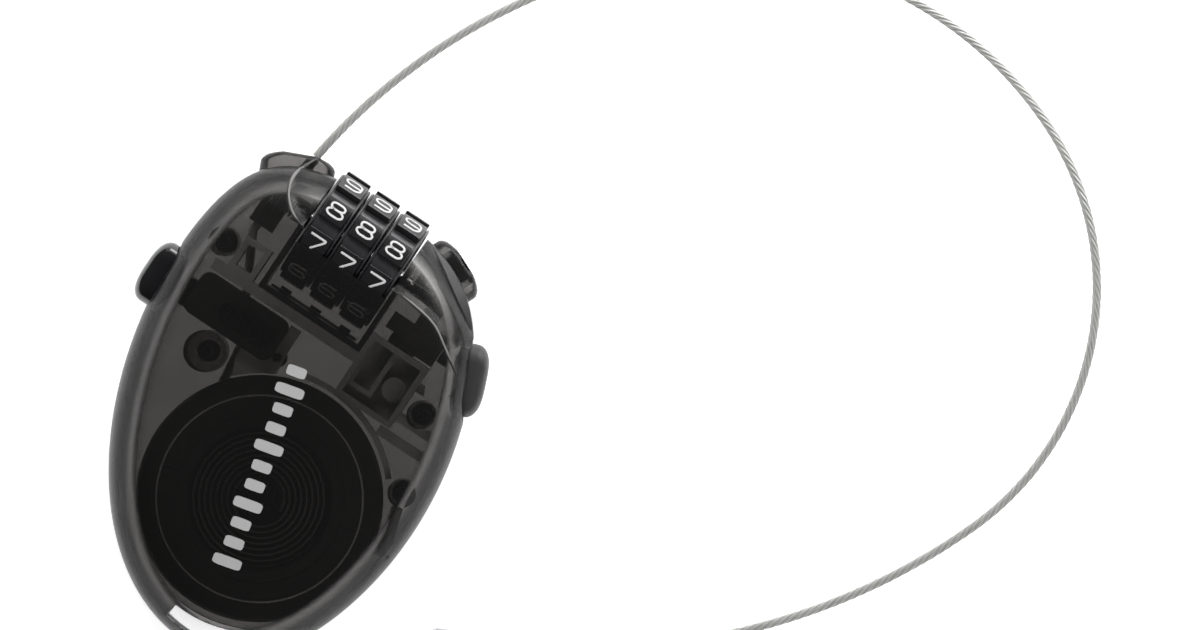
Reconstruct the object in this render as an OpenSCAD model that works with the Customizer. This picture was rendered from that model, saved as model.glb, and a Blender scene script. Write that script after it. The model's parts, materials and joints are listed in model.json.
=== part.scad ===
// Retractable cable luggage lock with three number wheels.
// Millimetres. X runs along the wheel spindle, Y towards the wheels, Z out of the front face.
// The origin is on the cable drum's axis, at the flat back face.

/* [Case] */
// Thickness of the case at its middle
case_t = 22; // [21.8:0.1:22.6]
// Height of the parting line above the back face
part_z = 10.5; // [10.2:0.1:10.8]
// Wall thickness of the two shells
wall = 1.8; // [1.6:0.1:2]
// Thickness of the flat back
floor_t = 1.6; // [1.4:0.1:1.8]
// Squareness of the front shell's rounded edge
front_power = 5.5; // [5:0.25:6]
// Squareness of the back shell's rounded edge
back_power = 8; // [7:0.5:9]
// Centre that the egg outline is drawn around
egg_c = [-5, 12];
// Sharpness of the egg's corners
egg_blend = 7.5; // [7:0.25:8]
// Circles whose arcs bound the egg, as [centre x, centre y, radius]
egg_left = [38.7, 27, 72.3];
egg_right = [-38.7, 8.9, 62.5];
egg_top = [7.7, -426.9, 478.5];
egg_bottom = [4.2, 26.3, 54.4];

/* [Number wheels] */
// Radius over the number pads
wheel_r = 10.2; // [9.8:0.1:10.3]
// Spacing of the wheels along the spindle
wheel_pitch = 5.7; // [5.5:0.1:5.8]
// Width of one wheel
wheel_w = 5.4; // [5:0.1:5.4]
// Height of the spindle above the back face
spindle_z = 11.3; // [11.1:0.1:11.5]
// Distance of the spindle from the drum's axis
spindle_y = 41.9; // [41.8:0.1:42]
// Place of the middle wheel along the spindle
middle_x = -9.35; // [-9.4:0.05:-9.3]
// Number pads on a wheel
pads = 10; // [8:1:12]
// Lowest edge of the wheel window
window_y = 39; // [38.8:0.1:39.4]

/* [Cable] */
// Diameter of the wire rope
cable_d = 1.5; // [1.2:0.1:1.6]
// Height of the cable and the plug socket above the back face
cable_z = 7.5; // [7.4:0.1:7.6]
// Place where the cable leaves the case
exit_p = [-23.1, 51];
// Heading of the cable where it leaves the case
exit_a = 82.6; // [80:0.2:85]
// Bend radius of each length of the cable loop
loop_r = [99.2, 62.7, 47.6, 107.3];
// Turn of each length of the cable loop, clockwise
loop_turn = [35.7, 70.2, 88, 38];
// Gap between neighbouring lengths
loop_gap = 0.4; // [0.35:0.05:0.6]

/* [Plug] */
// Diameter of the plug
plug_d = 5.3; // [5:0.1:5.4]
// Length of the plug
plug_l = 20.6; // [18:0.2:22]
// Diameter of the plug's neck
neck_d = 3.4; // [3:0.1:3.8]
// Length of the neck
neck_l = 6; // [5:0.2:6.4]
// Length of the tip beyond the neck
tip_l = 3; // [2.6:0.1:3.4]

/* [Reel] */
// Radius of the cable drum
drum_r = 20; // [19.6:0.1:20.1]
// Radius of the drum's spring chamber
chamber_r = 11.6; // [11:0.1:11.8]
// Radius that the cable is wound on
core_r = 12.6; // [12.3:0.1:12.8]
// Turns of the spiral mainspring
spring_turns = 8; // [6:1:9]

/* [Buttons] */
// Height of both side buttons across the case
button_h = 7; // [6:0.2:7.4]

/* [Hidden] */
$fn = 64;

smoke = [0.2, 0.19, 0.19];
black = [0.07, 0.07, 0.08];
grey = [0.45, 0.45, 0.46];
light_grey = [0.7, 0.7, 0.7];
steel = [0.75, 0.76, 0.78];
cap = 0.01;           // how far a cutter runs past the face it opens
fit_gap = 0.05;       // running and seating clearance
big = 60;             // longer than anything it has to clear

// ---- Egg outline and shell volumes ----

ring_points = 72;
ring_angles = [0, 12, 24, 36, 48, 60, 72, 84];
bounding = [egg_left, egg_right, egg_top, egg_bottom];

function total(v, i = 0) = i < len(v) ? v[i] + total(v, i + 1) : 0;

// Distance from the egg's centre to one bounding circle, at angle a
function reach(a, c) =
    let (d = [cos(a), sin(a)], o = egg_c - [c[0], c[1]], b = d * o)
    -b + sqrt(b * b - o * o + c[2] * c[2]);

// The smooth minimum of the four distances is the egg's radius
function egg_r(a) = pow(total([for (c = bounding) pow(reach(a, c), -egg_blend)]), -1 / egg_blend);

function egg_point(a, s, inset) = egg_c + s * (egg_r(a) - inset) * [cos(a), sin(a)];

function egg_ring(s, inset, z) = [
    for (i = [0:ring_points - 1])
        let (p = egg_point(360 * i / ring_points, s, inset)) [p[0], p[1], z]
];

// A solid through closed loops of points, listed from the bottom up
module loft(rings) {
    n = len(rings[0]);
    m = len(rings);
    sides = [
        for (k = [0:m - 2], i = [0:n - 1])
            let (j = (i + 1) % n, a = k * n + i, b = k * n + j)
            each [[a, a + n, b + n], [a, b + n, b]]
    ];
    bottom = [[for (i = [0:n - 1]) i]];
    top = [[for (i = [n - 1:-1:0]) (m - 1) * n + i]];
    polyhedron([for (r = rings) each r], concat(bottom, sides, top));
}

// Dome on the egg outline, standing on z = 0 with a straight skirt below it
module egg_dome(inset, height, power, skirt) {
    full = sin(ring_angles[len(ring_angles) - 1]);
    loft(concat(
        [egg_ring(1, inset, -skirt)],
        [for (t = ring_angles) if (t > 0 || skirt > 0)
            egg_ring(pow(cos(t), 2 / power), inset, height * sin(t) / full)]
    ));
}

module front_volume(inset, skirt) {
    translate([0, 0, part_z])
        egg_dome(inset, case_t - part_z - inset, front_power, skirt);
}

module back_volume(inset, height, skirt) {
    translate([0, 0, part_z])
        mirror([0, 0, 1])
            egg_dome(inset, height, back_power, skirt);
}

// ---- Places ----

screw_places = [[-20.4, 15.1], [18.7, 13.4], [-27.8, 31.5], [14.3, 25.7]];
screw_boss_r = [3.4, 2.3, 2.4, 2.3];
screw_head_z = [1, 2.5];
socket_p = [6.1, 48.6];
socket_a = 66;
collar_p = [-24.9, 48.6];
collar_a = 114;
collar_l = 12.2;
socket_collar_l = 11;
collar_h = 7.2;
collar_proud = 1.8;
collar_in = -2.2;
collar_arch = 13;
sleeve_r = 3.2;
open_a = 21.5;
open_p = [-9.4, 23.9];       // foot of the open button's axis, on the line through the drum's axis
open_apex = 31.9;
open_l = 12;
retract_y = 21.4;
retract_apex = -36.4;
retract_l = 11;
reset_p = [5.5, 33.5];
reset_r = 1.7;
pin_p = [-10.2, 20.6];
wheel_x = [for (k = [-1:1]) middle_x + k * wheel_pitch];
relief_r = wheel_r + 0.3;
window_x = [-18.2, -0.5];
guard_r = 20.6;               // inside of everything that surrounds the drum

module at(p, a, z) {
    translate([p[0], p[1], z]) rotate([0, 0, a]) children();
}

module along_spindle(x0, x1, r) {
    translate([x0, spindle_y, spindle_z]) rotate([0, 90, 0]) cylinder(h = x1 - x0, r = r);
}

module block(x, y, z) {
    translate([x[0], y[0], z[0]]) cube([x[1] - x[0], y[1] - y[0], z[1] - z[0]]);
}

// Prism of rounded section along X, its long side along Y
module oval_prism(x0, x1, length, height) {
    translate([x0, 0, 0]) rotate([0, 90, 0]) linear_extrude(x1 - x0) {
        square([height, length - height], center = true);
        for (side = [-1, 1])
            translate([0, side * (length - height) / 2]) circle(d = height);
    }
}

// ---- Case ----

module lanyard_slot(grow) {
    slot_r = 21.6;
    bail = 1.7;
    translate([0, 0, -1]) linear_extrude(case_t + 2) intersection() {
        polygon([for (i = [0:ring_points - 1]) egg_point(360 * i / ring_points, 1, bail - grow)]);
        difference() {
            translate([-2.4 - grow, -30]) square([13.2 + 2 * grow, 14]);
            circle(slot_r - grow);
        }
    }
}

module wheel_relief() {
    along_spindle(window_x[0], window_x[1], relief_r);
}

module case_openings() {
    at(collar_p, collar_a, cable_z)
        oval_prism(collar_in - 3, 6, collar_l + 2 * fit_gap, collar_h + 2 * fit_gap);
    at(socket_p, socket_a, cable_z)
        oval_prism(collar_in - 3, 6, socket_collar_l + 2 * fit_gap, collar_h + 2 * fit_gap);
    at(open_p, open_a, part_z) {
        oval_prism(26, big, open_l + 0.4, button_h + 0.4);
        oval_prism(23.75, 26.1, open_l + 1.8, button_h + 1.8);
    }
    translate([0, retract_y, part_z]) oval_prism(-big, -30.5, retract_l + 0.4, button_h + 0.4);
    wheel_relief();
    lanyard_slot(0);
}

module screw_posts() {
    for (k = [0:len(screw_places) - 1])
        translate([screw_places[k][0], screw_places[k][1], floor_t / 2])
            cylinder(h = case_t - floor_t, r = screw_boss_r[k]);
}

// The wall round the lanyard slot stays clear of the drum
module slot_rim() {
    difference() {
        lanyard_slot(1);
        translate([0, 0, -2]) cylinder(h = case_t + 4, r = guard_r);
    }
}

module front_shell() {
    pilot_r = 1.05;
    pilot_h = 6;
    rib_w = 1.9;
    rib_l = 10.8;
    rib_a = -73.2;
    inner_z = 15.1;      // above everything that slides under the front
    color(smoke) difference() {
        union() {
            difference() {
                front_volume(0, 0);
                front_volume(wall, 1);
            }
            intersection() {
                front_volume(0, 0);
                union() {
                    screw_posts();
                    slot_rim();
                    block(
                        [spring_x[1] + fit_gap, spring_x[1] + fit_gap + spring_stop_t],
                        [spring_y - 1.4, spring_y + 1.4], [inner_z, case_t]
                    );
                    at(screw_places[1], rib_a, 0)
                        block([0, rib_l], [-rib_w / 2, rib_w / 2], [inner_z, case_t]);
                }
            }
        }
        case_openings();
        block(window_x, [window_y, big], [part_z - 1, case_t + 1]);
        for (p = screw_places)
            translate([p[0], p[1], part_z - 1]) cylinder(h = pilot_h, r = pilot_r);
    }
}

module back_shell() {
    flat_cut = 1;
    screw_r = 1.2;
    head_r = 2;
    head_d = screw_head_z[1] + 0.1;
    color(smoke) difference() {
        union() {
            difference() {
                back_volume(0, part_z + flat_cut, 0);
                back_volume(wall, part_z - floor_t, 1);
            }
            intersection() {
                back_volume(0, part_z + flat_cut, 0);
                union() {
                    screw_posts();
                    slot_rim();
                }
            }
        }
        translate([-big, -big, -big]) cube([2 * big, 2 * big, big]);
        case_openings();
        for (p = screw_places) {
            translate([p[0], p[1], -cap]) cylinder(h = part_z + 1, r = screw_r);
            translate([p[0], p[1], -cap]) cylinder(h = head_d, r = head_r);
        }
        translate([reset_p[0], reset_p[1], -cap]) cylinder(h = 4, r = reset_r + fit_gap);
    }
}

module case_screws() {
    shank_top = 14.4;
    slot_l = 2.4;
    slot_w = 0.5;
    slot_d = 0.7;
    color(steel) for (p = screw_places) translate([p[0], p[1], screw_head_z[0]]) {
        difference() {
            cylinder(h = screw_head_z[1] - screw_head_z[0], r = 1.9);
            for (a = [0, 90])
                rotate([0, 0, a]) block([-slot_l / 2, slot_l / 2], [-slot_w / 2, slot_w / 2], [-cap, slot_d]);
        }
        translate([0, 0, slot_d + 0.4]) cylinder(h = shank_top - screw_head_z[0] - slot_d - 0.4, r = 1);
    }
}

module exit_collar() {
    color(smoke) difference() {
        at(collar_p, collar_a, cable_z) intersection() {
            oval_prism(collar_in, collar_proud, collar_l, collar_h);
            translate([collar_proud - collar_arch, 0, -big / 2]) cylinder(h = big, r = collar_arch);
        }
        at(exit_p, exit_a, cable_z) rotate([0, 90, 0])
            translate([0, 0, -8]) cylinder(h = 16, r = cable_d / 2 + 0.25);
    }
}

module socket_collar() {
    color(smoke) at(socket_p, socket_a, cable_z) difference() {
        intersection() {
            oval_prism(collar_in, collar_proud, socket_collar_l, collar_h);
            translate([collar_proud - collar_arch, 0, -big / 2]) cylinder(h = big, r = collar_arch);
        }
        translate([collar_in - 1, 0, 0]) rotate([0, 90, 0]) cylinder(h = 6, r = sleeve_r + fit_gap);
    }
}

// Metal sleeve that takes the plug
module plug_socket() {
    color(steel) at(socket_p, socket_a, cable_z) rotate([0, 90, 0]) difference() {
        translate([0, 0, -1.7]) cylinder(h = 3.3, r = sleeve_r);
        translate([0, 0, -3]) cylinder(h = 6, r = plug_d / 2 + 0.1);
    }
}

// ---- Number wheels and their frame ----

hub_r = 4.2;

module number_wheel(k) {
    rim_r = wheel_r - 0.9;
    pad_w = wheel_w - 1;
    pad_angle = 21;
    first_pad = 158;
    color(black) translate([wheel_x[k], spindle_y, spindle_z]) rotate([0, 90, 0]) difference() {
        union() {
            cylinder(h = wheel_w, r = rim_r, center = true);
            for (i = [0:pads - 1])
                rotate([0, 0, first_pad + i * 360 / pads - pad_angle / 2])
                    rotate_extrude(angle = pad_angle)
                        translate([rim_r - 1, -pad_w / 2]) square([wheel_r - rim_r + 1, pad_w]);
        }
        cylinder(h = wheel_w + 1, r = hub_r + fit_gap, center = true);
    }
}

// Sleeve inside a wheel, with a key slot that lets the spindle's fin through at the set number
module wheel_hub(k) {
    bore_r = spindle_r + fit_gap;
    fin_room_r = 2.7;
    key_w = 1.4;
    web_t = 1.3;
    color(grey) translate([wheel_x[k], spindle_y, spindle_z]) rotate([0, 90, 0]) difference() {
        cylinder(h = wheel_w, r = hub_r, center = true);
        cylinder(h = wheel_w + 1, r = bore_r, center = true);
        translate([0, 0, web_t - wheel_w / 2]) cylinder(h = wheel_w, r = fin_room_r);
        translate([-key_w / 2, 0, -wheel_w / 2 - cap]) cube([key_w, fin_room_r, wheel_w]);
    }
}

module dial_frame() {
    cheek_t = 0.8;
    cheeks_x = [window_x[0] - cheek_t - 0.1, window_x[1]];
    back_y = [28.7, 29.5];
    cheek_r = 5.4;
    cheek_z = [spindle_z - cheek_r, spindle_z + cheek_r];
    bracket_x = -26.2;
    bracket_y = [40.2, 44.3];
    bracket_z = [9.6, 12.8];
    bracket_t = 0.8;
    color(black) difference() {
        union() {
            for (x = cheeks_x) {
                along_spindle(x, x + cheek_t, cheek_r);
                block([x, x + cheek_t], [back_y[0], spindle_y], cheek_z);
            }
            block([cheeks_x[0], cheeks_x[1] + cheek_t], back_y, cheek_z);
            block([bracket_x, cheeks_x[0] + cap], [bracket_y[1] - 0.9, bracket_y[1]], bracket_z);
            block([bracket_x, bracket_x + bracket_t], bracket_y, bracket_z);
        }
        along_spindle(cheeks_x[0] - 1, cheeks_x[1] + 2, spindle_r + fit_gap);
    }
}

// Leaf with one sprung nose under each wheel
module detent_spring() {
    leaf_y = [29.75, 30.15];
    leaf_z = [6.5, 16];
    nose_r = 0.6;
    nose_w = 2;
    side = 2.4;
    color(steel) {
        block([wheel_x[0] - side, wheel_x[2] + side], leaf_y, leaf_z);
        for (x = wheel_x)
            translate([x - nose_w / 2, leaf_y[1], spindle_z]) rotate([0, 90, 0])
                cylinder(h = nose_w, r = nose_r);
    }
}

spindle_x = [-20.9, 1.2, 7.2];     // left end, shoulder and right end
spindle_r = 1.5;
journal_r = 1;

module spindle() {
    fin = [1, 2.5, 0.9];
    color(steel) {
        along_spindle(spindle_x[0], spindle_x[1], spindle_r);
        along_spindle(spindle_x[1] - cap, spindle_x[2], journal_r);
        for (x = wheel_x)
            translate([x - 0.1, spindle_y, spindle_z - fin[2] / 2]) cube(fin);
    }
}

// Slides with the spindle and holds the plug by its neck
module latch() {
    deck_z = [10.4, 13.4];
    tooth_x = [1.6, 3.2];
    stem_x = [5.3, 11.4];
    finger_x = [tooth_x[0], stem_x[0] + cap];
    tooth_y = [44.8, 46.6];
    arm_y = [43, 43.6];
    color(black) difference() {
        union() {
            block(stem_x, [33, 38.5], deck_z);
            block([stem_x[0], 8.4], [38.4, arm_y[1]], deck_z);
            block(finger_x, [34.4, 37.4], deck_z);
            block(finger_x, arm_y, deck_z);
            block(tooth_x, [arm_y[0], tooth_y[1]], [deck_z[0], 12.2]);
            block(tooth_x, tooth_y, [5.6, deck_z[0] + cap]);
        }
        along_spindle(stem_x[0] - 0.3, spindle_x[2] + 0.2, journal_r + fit_gap);
    }
}

// Wire coil along Z, from z = 0 to z = height
module coil(radius, wire_r, height, turns) {
    steps = 16;
    ring = 6;
    count = turns * steps;
    climb = height - 2 * wire_r;
    loft([
        for (i = [0:count])
            let (a = 360 * i / steps, z = wire_r + climb * i / count)
            [for (j = [0:ring - 1])
                let (b = -360 * j / ring, r = radius + wire_r * cos(b))
                [r * cos(a), r * sin(a), z + wire_r * sin(b)]]
    ]);
}

module spindle_spring() {
    left_x = -25.3;
    color(steel) translate([left_x, spindle_y, spindle_z]) rotate([0, 90, 0])
        coil(1.2, 0.2, spindle_x[0] - left_x - 0.1, 6);
}

// ---- Open button ----

// Outer end of a side button: an oval prism crowned both ways
module button_head(root, apex, length) {
    crown_along = 9.6;
    crown_across = 7;
    intersection() {
        oval_prism(root, apex, length, button_h);
        translate([apex - crown_along, 0, -big / 2]) cylinder(h = big, r = crown_along);
        translate([apex - crown_across, -big / 2, 0]) rotate([-90, 0, 0]) cylinder(h = big, r = crown_across);
    }
}

module open_button() {
    flange_n = [25.2, 26];
    flange_out = 1.4;
    color(black) {
        at(open_p, open_a, part_z) {
            button_head(flange_n[1] - 0.1, open_apex, open_l);
            oval_prism(flange_n[0], flange_n[1], open_l + flange_out, button_h + flange_out);
        }
        block([11.5, 14.2], [34.2, 36.6], [10.8, 13.1]);
    }
}

// ---- Retract button, slider and brake ----

module retract_button() {
    flange_x = [-29.9, -29];
    flange_out = 1.2;
    stem_end = -27.6;
    color(black) translate([0, retract_y, part_z]) {
        mirror([1, 0, 0]) button_head(-flange_x[0] - 0.1, -retract_apex, retract_l);
        oval_prism(flange_x[0], flange_x[1], retract_l + flange_out, button_h + flange_out);
        oval_prism(flange_x[1] - 0.1, stem_end, 5, 3.4);
    }
}

slider_z = [14.4, 17.6];
peg_p = [-11.8, 25.3];
spring_y = 22.3;
spring_x = [-22.15, -13.05];
spring_stop_t = 1;

module retract_slider() {
    pocket_floor = slider_z[0] + 0.6;
    leg_x = [-27.5, -25.5];
    leg_bottom = 8.9;
    color(black) difference() {
        union() {
            block([leg_x[0], -11], [18.8, 26.4], slider_z);
            block(leg_x, [19, 23.8], [leg_bottom, slider_z[0] + cap]);
            translate([peg_p[0], peg_p[1], pawl_z[0] + 0.6])
                cylinder(h = slider_z[0] - pawl_z[0] - 0.6 + cap, r = 0.6);
        }
        block([spring_x[0] - fit_gap, peg_p[0]], [20.2, 24.4], [pocket_floor, slider_z[1] + 1]);
    }
}

module retract_spring() {
    coil_z = 16.3;
    color(steel) translate([spring_x[0], spring_y, coil_z]) rotate([0, 90, 0])
        coil(1, 0.2, spring_x[1] - spring_x[0], 8);
}

pawl_z = [11.3, 14.3];
pin_r = 0.8;

module pawl_pin() {
    color(steel) translate([pin_p[0], pin_p[1], floor_t])
        cylinder(h = pawl_z[1] + fit_gap - floor_t, r = pin_r);
}

module pawl_spring() {
    wire_r = 0.3;
    coil_r = 1.3;
    base_z = 9.5;
    color(steel) for (k = [0:2])
        translate([pin_p[0], pin_p[1], base_z + k * 1.9 * wire_r])
            rotate_extrude() translate([coil_r, 0]) circle(wire_r);
}

// Lever whose nose stands at the drum's rim until the slider swings it away
module brake_pawl() {
    arm_w = 1.9;
    arm_l = 5.6;
    rim_gap = 0.25;
    nose = [[-9.2, 21.8], [-11, 22.3], [-15.8, 19], [-15.8, 16.8], [-14.2, 13], [-8.9, 18]];
    color(grey) translate([0, 0, pawl_z[0]]) linear_extrude(pawl_z[1] - pawl_z[0]) difference() {
        union() {
            translate([pin_p[0] - arm_w / 2, pin_p[1]]) square([arm_w, arm_l]);
            polygon(nose);
        }
        circle(drum_r + rim_gap);
        translate(pin_p) circle(pin_r + fit_gap);
    }
}

// ---- Inner frame ----

module pocket(x, y, z, thickness) {
    difference() {
        block(x, y, z);
        block(
            [x[0] + thickness, x[1] - thickness],
            [y[0] + thickness, y[1] - thickness],
            [z[0] - 1, z[1] + 1]
        );
    }
}

frame_z = [9.2, 16.6];
rib_z = [9.2, 13];

module drum_guard() {
    rotate([0, 0, 42]) rotate_extrude(angle = 66)
        translate([guard_r, frame_z[0]]) square([0.9, 4.2]);
}

module inner_frame() {
    bar_y = [26.8, 28.6];
    plate_x = [0.5, 11.4];
    plate_y = [21, 32.6];
    plate_t = 1;
    rib_t = 1.6;
    color(grey) intersection() {
        front_volume(wall + 0.3, 2);
        difference() {
            union() {
                drum_guard();
                block([-27.2, plate_x[0] + 0.1], bar_y, frame_z);
                pocket([-25, -20.2], [bar_y[1] - 0.1, 34.4], frame_z, 1);
                block(plate_x, plate_y, [frame_z[0], frame_z[0] + plate_t]);
                pocket(plate_x, plate_y, frame_z, 1);
                pocket([1.3, 5.9], [23.4, 32.4], [frame_z[0], 14.5], 0.8);
                translate([8.4, 26.6, frame_z[0]]) cylinder(h = 4, r = 2);
                block([9.7, 22], [19.1, 19.1 + rib_t], rib_z);
                for (y = [22.6, 28.3])
                    block([11, 22], [y, y + rib_t], rib_z);
            }
            for (k = [0:len(screw_places) - 1])
                translate([screw_places[k][0], screw_places[k][1], 0])
                    cylinder(h = case_t, r = screw_boss_r[k] + 0.2);
            // room for the slider, its peg and the brake
            block([-30, -6.5], [10, bar_y[0] - 0.2], [0, slider_z[1] + 1]);
            // room for the open button's stem and flange
            at(open_p, open_a, part_z) oval_prism(22.4, big, open_l + 2.4, button_h + 2.4);
        }
    }
}

// ---- Reel ----

drum_z = [3.6, 12.4];
flange_t = 1.2;
axle_r = 2.4;

axle_top = drum_z[1] + 0.9;

module drum_axle() {
    foot_r = 4;
    foot_h = 1;
    color(steel) translate([0, 0, floor_t]) {
        cylinder(h = foot_h, r = foot_r);
        cylinder(h = axle_top - floor_t, r = axle_r);
    }
}

module axle_screw() {
    head_r = 3.6;
    head_h = 1.4;
    slot_w = 0.8;
    slot_l = 4.8;
    color(steel) translate([0, 0, axle_top + fit_gap]) difference() {
        cylinder(h = head_h, r = head_r);
        block([-slot_l / 2, slot_l / 2], [-slot_w / 2, slot_w / 2], [head_h * 0.6, head_h + 1]);
    }
}

module drum() {
    tube_r = 3.4;
    back_flange_r = 17.4;
    color(black) difference() {
        union() {
            translate([0, 0, drum_z[0]]) cylinder(h = flange_t, r = back_flange_r);
            translate([0, 0, drum_z[0]]) cylinder(h = drum_z[1] - drum_z[0], r = core_r);
        }
        translate([0, 0, drum_z[0] + flange_t]) difference() {
            cylinder(h = drum_z[1], r = chamber_r);
            cylinder(h = drum_z[1], r = tube_r);
        }
        cylinder(h = case_t, r = axle_r + fit_gap);
    }
}

module drum_cover() {
    cover_t = 1.8;
    line_r = 16.7;
    line_w = 0.3;
    line_d = 0.2;
    color(black) translate([0, 0, drum_z[1]]) difference() {
        cylinder(h = cover_t, r = drum_r);
        translate([0, 0, -1]) cylinder(h = cover_t + 2, r = chamber_r);
        translate([0, 0, cover_t - line_d]) difference() {
            cylinder(h = 1, r = line_r + line_w / 2);
            cylinder(h = 1, r = line_r - line_w / 2);
        }
    }
}

// Flat steel strip wound from the drum's tube out to the chamber wall
module mainspring() {
    inner_r = 3.7;
    outer_r = chamber_r - 0.5;
    strip_t = 0.3;
    steps = 24;
    side_gap = 0.4;
    bottom_z = drum_z[0] + flange_t + side_gap;
    count = spring_turns * steps;
    function spiral(offset, i) =
        let (r = inner_r + (outer_r - inner_r) * i / count + offset, a = 360 * i / steps)
        [r * cos(a), r * sin(a)];
    color(steel) translate([0, 0, bottom_z]) linear_extrude(drum_z[1] - side_gap - bottom_z)
        polygon(concat(
            [for (i = [0:count]) spiral(0, i)],
            [for (i = [count:-1:0]) spiral(strip_t, i)]
        ));
}

wound_r = core_r + cable_d / 2 + fit_gap;
module wound_cable() {
    turns = 5;
    pitch = cable_d - 0.04;      // the turns press into each other
    lowest_z = drum_z[0] + flange_t + cable_d / 2 + 0.1;
    color(light_grey) for (k = [0:turns - 1])
        translate([0, 0, lowest_z + k * pitch])
            rotate_extrude() translate([wound_r, 0]) circle(d = cable_d);
}

// ---- Cable ----

// Tube through points at one height, mitred where it bends
module tube_through(path, d) {
    corners = 12;
    last = len(path) - 1;
    function heading(i) = let (v = path[i + 1] - path[i]) atan2(v[1], v[0]);
    function mean(i) = (heading(max(i - 1, 0)) + heading(min(i, last - 1))) / 2;
    function widen(i) = 1 / cos((heading(min(i, last - 1)) - heading(max(i - 1, 0))) / 2);
    loft([
        for (i = [0:last])
            let (side = widen(i) * [sin(mean(i)), -cos(mean(i)), 0])
            [for (j = [0:corners - 1])
                let (b = -360 * j / corners)
                path[i] + d / 2 * (cos(b) * side + [0, 0, sin(b)])]
    ]);
}

exit_dir = [cos(exit_a), sin(exit_a), 0];
exit_3d = [exit_p[0], exit_p[1], cable_z];

// The cable leaves the drum on a tangent and passes the screw post to the guide
bend_1 = [-15.6, 13.2, cable_z];
bend_2 = [-16.3, 18.5, cable_z];
straight_l = 15.5;
bend_3 = exit_3d - straight_l * exit_dir;
leave_r = wound_r + cable_d + 0.1;
leave_a = atan2(bend_1[1], bend_1[0]) + acos(leave_r / norm([bend_1[0], bend_1[1]]));
leave_p = [leave_r * cos(leave_a), leave_r * sin(leave_a), cable_z];

module cable_inner_run() {
    color(light_grey)
        tube_through([leave_p, bend_1, bend_2, bend_3, exit_3d - loop_gap * exit_dir], cable_d);
}

module cable_guide() {
    guide_z = [5.6, 9.6];
    color(black) difference() {
        block([-26.6, -22.2], [36.8, 41.2], guide_z);
        at(exit_p, exit_a, cable_z) translate([-20, 0, 0])
            rotate([0, 90, 0]) cylinder(h = 20, r = cable_d / 2 + 0.2);
    }
}

// Start point and heading of each length of the loop
function turned(p, a, r, sweep) = p + r * [sin(a) - sin(a - sweep), cos(a - sweep) - cos(a)];
function loop_start(k) = k == 0
    ? [exit_p, exit_a]
    : let (s = loop_start(k - 1))
      [turned(s[0], s[1], loop_r[k - 1], loop_turn[k - 1]), s[1] - loop_turn[k - 1]];

module cable_length(k) {
    start = loop_start(k);
    trim = loop_gap / 2 / loop_r[k] * 180 / PI;
    color(light_grey) at(start[0], start[1], cable_z) translate([0, -loop_r[k], 0])
        rotate([0, 0, 90 - loop_turn[k] + trim])
            rotate_extrude(angle = loop_turn[k] - 2 * trim, $fn = 180)
                translate([loop_r[k], 0]) circle(d = cable_d, $fn = 24);
}

module plug() {
    start = loop_start(len(loop_r));
    r = plug_d / 2;
    chamfer = 0.5;
    barrel_l = plug_l - neck_l - tip_l;
    color(steel) at(start[0], start[1], cable_z) translate([loop_gap / 2, 0, 0]) rotate([0, 90, 0]) {
        cylinder(h = chamfer + cap, r1 = r - chamfer, r2 = r);
        translate([0, 0, chamfer]) cylinder(h = barrel_l - 2 * chamfer, r = r);
        translate([0, 0, barrel_l - chamfer - cap]) cylinder(h = chamfer, r1 = r, r2 = r - chamfer);
        translate([0, 0, barrel_l - chamfer - cap]) cylinder(h = neck_l + 2 * chamfer, r = neck_d / 2);
        translate([0, 0, barrel_l + neck_l]) cylinder(h = tip_l - 2 * chamfer, r = r);
        translate([0, 0, plug_l - 2 * chamfer - cap]) cylinder(h = 2 * chamfer, r1 = r, r2 = r - 2 * chamfer);
    }
}

// Sets a new code when it is pushed in from the back with a pen
module reset_button() {
    pin_z = [0.4, 6.8];
    flange_z = [2.8, 3.6];
    color(black) translate([reset_p[0], reset_p[1], 0]) {
        translate([0, 0, pin_z[0]]) cylinder(h = pin_z[1] - pin_z[0], r = reset_r);
        translate([0, 0, flange_z[0]]) cylinder(h = flange_z[1] - flange_z[0], r = reset_r + 0.9);
    }
}

front_shell();
back_shell();
case_screws();
exit_collar();
socket_collar();
plug_socket();
dial_frame();
detent_spring();
inner_frame();
cable_guide();
cable_inner_run();
drum_axle();
axle_screw();
pawl_pin();
pawl_spring();
spindle_spring();
retract_spring();
number_wheel(0);  // number_wheel_1
number_wheel(1);  // number_wheel_2
number_wheel(2);  // number_wheel_3
wheel_hub(0);  // wheel_hub_1
wheel_hub(1);  // wheel_hub_2
wheel_hub(2);  // wheel_hub_3
spindle();
latch();
open_button();
retract_button();
retract_slider();
brake_pawl();
drum();
drum_cover();
mainspring();
wound_cable();
reset_button();
cable_length(0);  // cable_length_1
cable_length(1);  // cable_length_2
cable_length(2);  // cable_length_3
cable_length(3);  // cable_length_4
plug();
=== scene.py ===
"""Looks of the cable luggage lock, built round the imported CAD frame.

Lengths in this file are millimetres in the frame's axes: X along the wheel spindle,
Y towards the number wheels, Z out of the front face. Meshes are scaled to metres as they are made.
"""

import json
import math

import bmesh
import bpy
import numpy as np
from mathutils import Matrix, Vector


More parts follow.
